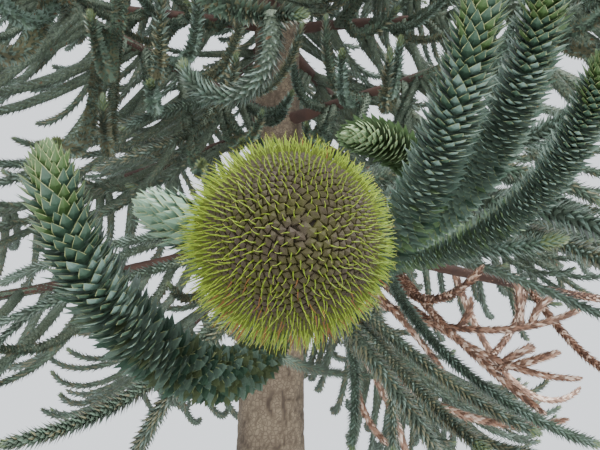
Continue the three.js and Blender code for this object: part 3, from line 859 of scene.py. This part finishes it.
CLOSE_WIDTH, RIM_START = 0.0195, 0.87
# The bend and the hollow of a close leaf, in keels, and the distances from the tip where its green turns.
CLOSE_BEND, CLOSE_HOLLOW = 4.2, 0.35
FRESH_AGE, MIDDLE_AGE = 0.042, 0.1


def shoots_from(bearers, rows):
    """Shoots that are set one by one, each from a share of the way along the arc that bears it."""
    bearer, share, *shape = (np.array(column) for column in zip(*rows))
    return arcs_of(places_on(bearers, bearer, share)[0], *shape, twig_radius)


def set_shoots(rows_of):
    """The same on boughs, each named by its whorl and number. The cone's bough is the last limb."""
    limbs = [*whorl_boughs, CONE_BOUGH]
    rows = [(limbs.index(bough), *row) for bough, rows in rows_of.items() for row in rows]
    return shoots_from(limb_arcs, rows)


def rimmed_leaf(along=3):
    """A leaf on a grid: it swells and then narrows to the tip, bends inwards by the square of the way, and
    has a keel on its outer side. Each face is numbered as a part of the leaf. The root row is its shade
    part, which takes a painted tone."""
    share = np.linspace(0, 1, along + 1)[:-1]
    half = 0.5 * (1 - share**1.7) ** 0.8 * (0.86 + 0.5 * share) * CLOSE_WIDTH
    place = np.array((-1, -RIM_START, RIM_START, 1))
    across = len(place)
    bent = -CLOSE_BEND * share**2 * LEAF_KEEL
    x = half[:, None] * place
    y = np.broadcast_to(share[:, None] * LEAF_LENGTH, x.shape)
    z = bent[:, None] + CLOSE_HOLLOW * LEAF_KEEL * (1 - place**2)
    proud = bent + LEAF_KEEL * (1.2 - 0.9 * share)
    ridge = np.stack((0 * share, share * LEAF_LENGTH, proud), axis=-1)
    tip = (0, LEAF_LENGTH, -CLOSE_BEND * LEAF_KEEL)
    points = np.concatenate((np.stack((x, y, z), axis=-1).reshape(-1, 3), ridge, [tip]))
    first_ridge, tip_number, last = x.size, len(points) - 1, (along - 1) * across
    corners, parts = [], []
    for row in range(along - 1):
        for column in range(across - 1):
            a = row * across + column
            corners += [(a, a + across, a + across + 1), (a, a + across + 1, a + 1)]
            parts += [SHADE_PART if row == 0 else RIM if column in (0, across - 2) else INNER] * 2
        left, right, keel = row * across, row * across + across - 1, first_ridge + row
        corners += [(left, keel, keel + 1), (left, keel + 1, left + across)]
        corners += [(keel, right, right + across), (keel, right + across, keel + 1)]
        parts += [SHADE_PART if row == 0 else BLADE] * 4
    for column in range(across - 1):
        corners.append((last + column, tip_number, last + column + 1))
        parts.append(RIM if column in (0, across - 2) else INNER)
    top = first_ridge + along - 1
    corners += [(last, top, tip_number), (top, last + across - 1, tip_number)]
    corners += [(column, column + 1, first_ridge) for column in range(across - 1)]
    parts += [BLADE] * (across + 1)
    return points, np.array(corners), np.array(parts)


close_arcs = set_shoots({CONE_BOUGH: CLOSE_SHOOTS})
close_arcs = join_arcs(close_arcs, shoots_from(close_arcs, CLOSE_FORKS))
close_twig = leaf_finishes(("twig_close", (112, 130, 108), (96, 110, 88)))
close_twigs = twig_piece("twigs_close", close_arcs, close_twig, 10, 25)
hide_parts("foliage_1_1")
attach(close_twigs, "root")

close_finishes = leaf_finishes(
    ("leaf_blue_green", (114, 139, 130), (96, 120, 112)),
    ("leaf_middle", (63, 88, 72), (54, 77, 63)),
    ("leaf_near_fresh", (72, 97, 54), (62, 86, 48)),
    ("leaf_yellowed", (140, 124, 70), (112, 96, 56)),
    ("leaf_pale", (115, 144, 120), (94, 125, 104)),
    # Painted light: the root rows of old close leaves lie in the shade between leaves, and are painted
    # lighter than the inner faces to stand in for glare there.
    ("leaf_gap_light", (116, 136, 124), (102, 120, 108)),
    ("leaf_rim", (172, 178, 128), (146, 152, 106)),
    ("leaf_inner", (102, 122, 110), (88, 104, 90)),
    ("leaf_old_olive", (90, 100, 70), (76, 86, 60)),
    # A lighter, yellower copy of the old green: partly olive tint, partly painted light for the shaded
    # right and far sides and the fork.
    ("leaf_old_lit", (112, 136, 98), (94, 118, 82)),
)
CLOSE_BLUE, CLOSE_MIDDLE, CLOSE_FRESH, CLOSE_YELLOW, CLOSE_PALE = range(5)
CLOSE_GAP_LIGHT, CLOSE_RIM, CLOSE_INNER, CLOSE_OLIVE, CLOSE_OLD_LIT = range(5, 10)
# Each side's shoots, where its yellow leaves start and its old ones end, its dark share and its old green.
# The old green of the right and far sides is lit: partly the leaves' own olive tint, partly painted light
# for their shade.
CLOSE_SIDES = {
    "left": ([0, 1], 0.93, 0.7, 0.35, CLOSE_OLIVE),
    "right": ([2, 3], 0.55, 0.58, 0.12, CLOSE_OLD_LIT),
    "far": ([4, 5], 0.7, 0.5, 0.12, CLOSE_OLD_LIT),
}


def close_greens(shoot, share, from_tip, yellow_start, old_end, dark_share, old_green):
    """The green of each leaf: fresh near the tip and blue further back, with dark, old and yellowed ones
    dealt out among them. Two of the shoots have one green throughout: the pale shoot, and the fork, whose
    lit old green is painted light in the cone's shadow."""
    number = np.arange(len(shoot))
    age = from_tip * (1 + 0.45 * vary(number, 6))
    green = (age < MIDDLE_AGE).astype(int) + (age < FRESH_AGE)
    green[(age > MIDDLE_AGE) & (vary(number, 12) > 1 - 2 * dark_share)] = CLOSE_MIDDLE
    green[(vary(number, 13) > 0) & (share < old_end + 0.15 * vary(number, 14))] = old_green
    green[vary(number, 7) > share + yellow_start] = CLOSE_YELLOW
    green[shoot == PALE_SHOOT] = CLOSE_PALE
    green[shoot == FORK_SHOOT] = CLOSE_OLD_LIT
    return green


close_leaf = rimmed_leaf()
base, rim, inner = (close_leaf[2] == part for part in (SHADE_PART, RIM, INNER))
for side, (chosen, *shading) in CLOSE_SIDES.items():
    arcs = pick_arcs(close_arcs, chosen)
    places = leaf_places(arcs, CLOSE_LEAVES_IN_METRE)
    shoot, share = np.array(chosen)[places[0]], places[1]
    full = lerp(CLOSE_ROOT_SIZE, 1, np.clip((share - 0.4) / 0.4, 0, 1))
    sizes = CLOSE_SIZES[shoot] * np.where(shoot == PALE_SHOOT, 1, full)
    points, corners = plant_leaves(close_leaf, arcs, places, CLOSE_SPREADS[shoot], sizes)
    green = close_greens(shoot, share, places[-1], *shading)[:, None]
    blue, pale = green == CLOSE_BLUE, green == CLOSE_PALE
    # The root row of each old leaf takes the painted gap light.
    kinds = (rim, base & (green < CLOSE_FRESH), inner & blue, inner & pale)
    colours = np.select(kinds, (CLOSE_RIM, CLOSE_GAP_LIGHT, CLOSE_INNER, CLOSE_BLUE), green).ravel()
    close_leaves = mesh_piece(f"leaves_close_{side}", points, corners, close_finishes, colours)
    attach(close_leaves, "root")

stem_share = 1 - CONE_BOUGH_STEM / cone_bough_length
further_shoots = set_shoots(FURTHER_SHOOTS)
further_forks = shoots_from(further_shoots, FURTHER_FORKS)
further_arcs = join_arcs(further_shoots, further_forks, outer_part(cone_bough, stem_share, twig_radius))
further = depth_in_view(further_arcs) > MIDDLE_DEPTH
dress_shoots("cone_bough", pick_arcs(further_arcs, ~further), FINENESS["near"], 2)
dress_shoots("hanging", pick_arcs(further_arcs, further), FINENESS["middle"], 2)

# The leader
# The trunk's top goes on as one upright leafy shoot with a ring of short rising shoots round it.
LEADER_SHOOTS, LEADER_SHOOT_LENGTH, LEADER_PITCHES = 5, 0.34, (30, 75)

leader = straight_arc(np.array((0, 0, TRUNK_HEIGHT)), np.array((0, 0, TREE_HEIGHT - 0.02)), twig_radius)
number = np.arange(LEADER_SHOOTS)
ring_start = places_on(leader, np.zeros(LEADER_SHOOTS, int), 0.3 + 0.05 * number)[0]
ring_heading = 360 / LEADER_SHOOTS * number + 20
ring_headings = np.stack((ring_heading, ring_heading), axis=-1)
ring_shoots = arcs_of(ring_start, ring_headings, LEADER_PITCHES, 1, LEADER_SHOOT_LENGTH, twig_radius)
leader_leaves = dress_shoots("leader", join_arcs(leader, ring_shoots), FINENESS["seen"], 4)
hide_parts("foliage_leader")

# The dead bough
# One low bough has died. Its dry pinkish brown leaves still cling, closer to the twigs than live ones.
DEAD_LEAVES_IN_METRE, DEAD_SPREAD, DEAD_SWELL, DEAD_LEAF_SIZE = 430, 32, 1.45, 1.05
# Where the deal turns from the sunlit copy to the mid tone, and from the mid tone to the shaded copy of the
# dead leaves.
SUNLIT_DEAL, SHADED_DEAL = -0.45, 0.35
DEAD_SHOOTS = [
    (0.089, (296, 348), (-56, 24), 1.4, 1.67),
    (0.106, (305, 335), (-43, -1), 4.0, 1.60),
    (0.445, (119, 348), (-85, 23), 0.9, 1.05),
    (0.210, (279, 313), (-45, -40), 2.8, 1.35),
    (0.141, (254, 379), (-44, -55), 1.0, 1.05),
    (0.049, (282, 338), (-56, 14), 2.7, 1.99),
    (0.147, (209, 324), (-76, -41), 3.9, 1.22),
    (0.051, (270, 377), (-57, -79), 3.2, 1.53),
]
DEAD_FORKS = [
    (0, 0.833, (13, 100), (89, 10), 2.0, 0.35),
    (0, 0.861, (308, 366), (68, 15), 1.6, 0.18),
    (0, 0.655, (335, 284), (44, 77), 1.6, 0.16),
    (1, 0.822, (320, 337), (12, 16), 1.9, 0.21),
    (1, 0.795, (302, 454), (31, -2), 1.6, 0.24),
]

dead_row = whorl_boughs.index(DEAD_BOUGH)
dead_shoots = set_shoots({DEAD_BOUGH: DEAD_SHOOTS})
dead_arcs = join_arcs(
    dead_shoots,
    shoots_from(dead_shoots, DEAD_FORKS),
    pick_arcs(side_shoots(*DEAD_BOUGH, dead_row, 0), slice(None, None, 3)),
    outer_part(pick_arcs(boughs, [dead_row]), BARE_SHARE, twig_radius),
)
dead_arcs = pick_arcs(dead_arcs, in_reach(dead_arcs))
# Three tones dealt at random: a pale copy that is a painted sunlit highlight, the mid tone, and a dark copy
# that is painted shade and also the twigs' own colour.
dead_finishes = leaf_finishes(
    ("leaf_dead_sunlit", (228, 206, 190), (208, 178, 158)),
    ("leaf_dead", (172, 138, 118), (148, 112, 92)),
    ("leaf_dead_dark", (122, 92, 76), (96, 70, 58)),
)
dead_twigs = twig_piece("twigs_dead_bough", dead_arcs, dead_finishes[-1:], 6, 12, DEAD_SWELL)
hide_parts("foliage_1_2")
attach(dead_twigs, "root")
places = leaf_places(dead_arcs, DEAD_LEAVES_IN_METRE)
points, corners = plant_leaves(dart, dead_arcs, places, DEAD_SPREAD, DEAD_LEAF_SIZE)
deal = vary(np.arange(len(places[0])), 9)
colours = np.repeat((deal > SUNLIT_DEAL).astype(int) + (deal > SHADED_DEAL), len(dart[1]))
dead_leaves = mesh_piece("leaves_dead_bough", points, corners, dead_finishes, colours)
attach(dead_leaves, "root")

# The seed cone
# A round cone of woody scales in spirals. Each scale's head is a dark low rhomb, and from it grows a thin
# green spine that bends away from the cone's free end. At the rim of the view they make a bright fringe.
CONE_HEADING, CONE_PITCH = -82.0, -10.5
BODY_RINGS, BODY_SIDES, BODY_SUNK = 30, 60, 0.002
SCALE_COUNT, SCALE_CLOSING, SPIRAL_REACH = 2000, 0.9, 1.965
SCALE_HALF_WIDTH, SCALE_HALF_HEIGHT = 0.0039, 0.0032
SCALE_SUNK, SCALE_PROUD, PEAK_SHIFT = 0.0035, 0.0022, 0.2
SPINE_LENGTH, SPINE_WIDTH, SPINE_RINGS = 0.0275, 0.002, 7
# In degrees: a spine's lean at its root and at its tip, its swerve and its curl. Towards the free end the
# lean and the curl grow.
ROOT_LEAN, TIP_LEAN, MORE_LEAN = 18, 50, 36
SPINE_SWERVE, SPINE_CURL, MORE_CURL = 14, 10, 70
UNDERSIDE, RUSTY_BELOW, RUSTY_ABOVE = -0.55, 0.6, 0.985


def cone_body(rings, around):
    """A ball round the axis, a little inside the scales: rings at even angles from pole to pole. Its dark
    colour is painted shade in the gaps between the scales.
    """
    polar = np.linspace(0, np.pi, rings + 2)[1:-1]
    angle, low = np.meshgrid(even_turns(around), polar)
    ball = round_axis(np.sin(low), angle, -np.cos(low))
    points = np.concatenate((ball.reshape(-1, 3), [(0, 0, -1), (0, 0, 1)]))
    return points * (CONE_RADIUS - BODY_SUNK), closed_rings(rings, around)


def scale_directions(count):
    """Points spread over a ball in one spiral, from the free end almost to the stalk, closer together away
    from the free end. With each go the direction away from the free end, the level and the scale's size."""
    index = np.arange(count)
    share = (index + 0.1) / count
    level = 1 - SPIRAL_REACH * share**SCALE_CLOSING
    turn = index * GOLDEN_TURN
    flat = np.sqrt(1 - level**2)
    out, away = round_axis(flat, turn, level), round_axis(level, turn, -flat)
    return out, away, level, share ** ((SCALE_CLOSING - 1) / 1.6)


def scale_heads(out, away, size):
    """Each head is a rhomb with sloping sides and a low peak off its middle: four points sunk in the cone,
    four on its surface, and the peak."""
    across, along = np.cross(out, away) * size[:, None], away * size[:, None]
    corners = []
    for depth, width in ((-SCALE_SUNK, 1.12), (0, 0.86)):
        for turn, half in ((across, SCALE_HALF_WIDTH), (along, SCALE_HALF_HEIGHT)):
            corners += [(CONE_RADIUS + depth) * out + sign * half * width * turn for sign in (1, -1)]
    peak = (CONE_RADIUS + SCALE_PROUD) * out + along * SCALE_HALF_HEIGHT * PEAK_SHIFT
    points = np.stack((*corners, peak), axis=1).reshape(-1, 3)
    faces = []
    for a, b in ((0, 2), (2, 1), (1, 3), (3, 0)):
        faces += [(b, a, a + 4), (b, a + 4, b + 4), (b + 4, a + 4, 8)]
    return points, copied(np.array(faces), len(out), 9)


def spine_meshes(out, away, level):
    """Three-sided spines that narrow to the tip. Each leans from upright on its head to lying away from the
    free end, and swerves to one side as it goes. Those round the free end are short."""
    count = len(out)
    number = np.arange(count)
    facing = np.clip(level, 0, 1)
    length = SPINE_LENGTH * np.clip(0.3 + 0.7 * (1 - level), 0, 1) * (1 + 0.16 * vary(number, 3))
    share = np.linspace(0, 1, SPINE_RINGS)
    middle = (share[1:] + share[:-1]) / 2
    tip_lean = TIP_LEAN + 12 * vary(number, 5) + MORE_LEAN * facing
    lean = np.radians(lerp(ROOT_LEAN, tip_lean[:, None], middle))
    curl = (SPINE_CURL + MORE_CURL * facing) * vary(number, 8)
    swerve = np.radians(SPINE_SWERVE * vary(number, 4)[:, None] + curl[:, None] * middle)
    across = np.cross(out, away)
    flat = turned(away[:, None], across[:, None], swerve)
    heading = turned(out[:, None], flat, lean)
    start = out[:, None] * CONE_RADIUS + away[:, None] * SCALE_HALF_HEIGHT * PEAK_SHIFT
    step = (length / (SPINE_RINGS - 1))[:, None, None]
    path = np.concatenate((start, start + np.cumsum(heading * step, axis=1)), axis=1)
    heading = np.concatenate((heading, heading[:, -1:]), axis=1)
    beside = unit(np.cross(heading, out[:, None]))
    under = np.cross(beside, heading)
    half = ((1 - 0.25 * facing)[:, None] * SPINE_WIDTH / 2 * (1 - 0.94 * share))[..., None]
    points = np.stack((path + beside * half, path - beside * half, path + under * half), axis=2)
    faces = triangles(ring_corners(SPINE_RINGS, 3))
    band = np.tile(np.repeat(np.arange(SPINE_RINGS - 1), 3), 2)
    cap = 3 * (SPINE_RINGS - 1)
    faces = np.concatenate((faces, [(0, 2, 1), (cap, cap + 1, cap + 2)]))
    band = np.append(band, (0, SPINE_RINGS - 2))
    corners = copied(faces, count, 3 * SPINE_RINGS)
    return points.reshape(-1, 3), corners, np.tile(band, count).reshape(count, -1)


# The first finish colours the dark ball under the scales: painted shade between them.
cone_rows = (
    ("cone_gap_shade", (36, 31, 22), (26, 23, 18), 60, 0.85, 500, 0.001),
    ("cone_scale", (59, 51, 41), (58, 57, 28), 60, 0.6, 500, 0.001),
    ("cone_spine_foot", (84, 98, 24), (72, 80, 24), 40, 0.6, 400, 0.0005),
    ("cone_spine", (112, 131, 33), (92, 112, 30), 30, 0.5, 400, 0.0005),
    ("cone_spine_tip", (164, 170, 66), (140, 146, 52), 30, 0.5, 400, 0.0005),
    ("cone_spine_rusty", (112, 76, 40), (94, 64, 36), 30, 0.6, 400, 0.0005),
)
cone_finishes = [mottled_finish(*row) for row in cone_rows]
GAP_SHADE, SCALES, RUSTY = 0, 1, 5
SPINE_BANDS = np.array((2, 2, 3, 3, 3, 4))
CONE_GLOSS = 0.15
for finish in cone_finishes:
    finish.node_tree.nodes["Principled BSDF"].inputs["Specular IOR Level"].default_value = CONE_GLOSS

pole = direction(CONE_HEADING, CONE_PITCH)
level_axis = unit(np.cross(pole, (0, 0, 1)))
axes = np.stack((level_axis, np.cross(pole, level_axis), pole))
scale_out, scale_away, scale_level, scale_size = scale_directions(SCALE_COUNT)
body_points, body_corners = cone_body(BODY_RINGS, BODY_SIDES)
head_points, head_corners = scale_heads(scale_out, scale_away, scale_size)
spine_points, spine_corners, spine_band = spine_meshes(scale_out, scale_away, scale_level)
underneath = (scale_out @ axes)[:, 2] < UNDERSIDE
rusty = np.where(underneath, RUSTY_BELOW, RUSTY_ABOVE) < vary(np.arange(SCALE_COUNT), 11)
spine_finish = np.where(rusty[:, None] & (spine_band > 1), RUSTY, SPINE_BANDS[spine_band])
points = np.concatenate((body_points, head_points, spine_points)) @ axes + CONE_CENTRE
head_corners += len(body_points)
spine_corners += len(body_points) + len(head_points)
corners = np.concatenate((body_corners, head_corners, spine_corners))
body_finish, head_finish = np.full(len(body_corners), GAP_SHADE), np.full(len(head_corners), SCALES)
colours = np.concatenate((body_finish, head_finish, spine_finish.ravel()))
seed_cone = mesh_piece("seed_cone_scales", points, corners, cone_finishes, colours)
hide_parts("seed_cone")
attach(seed_cone, "root")
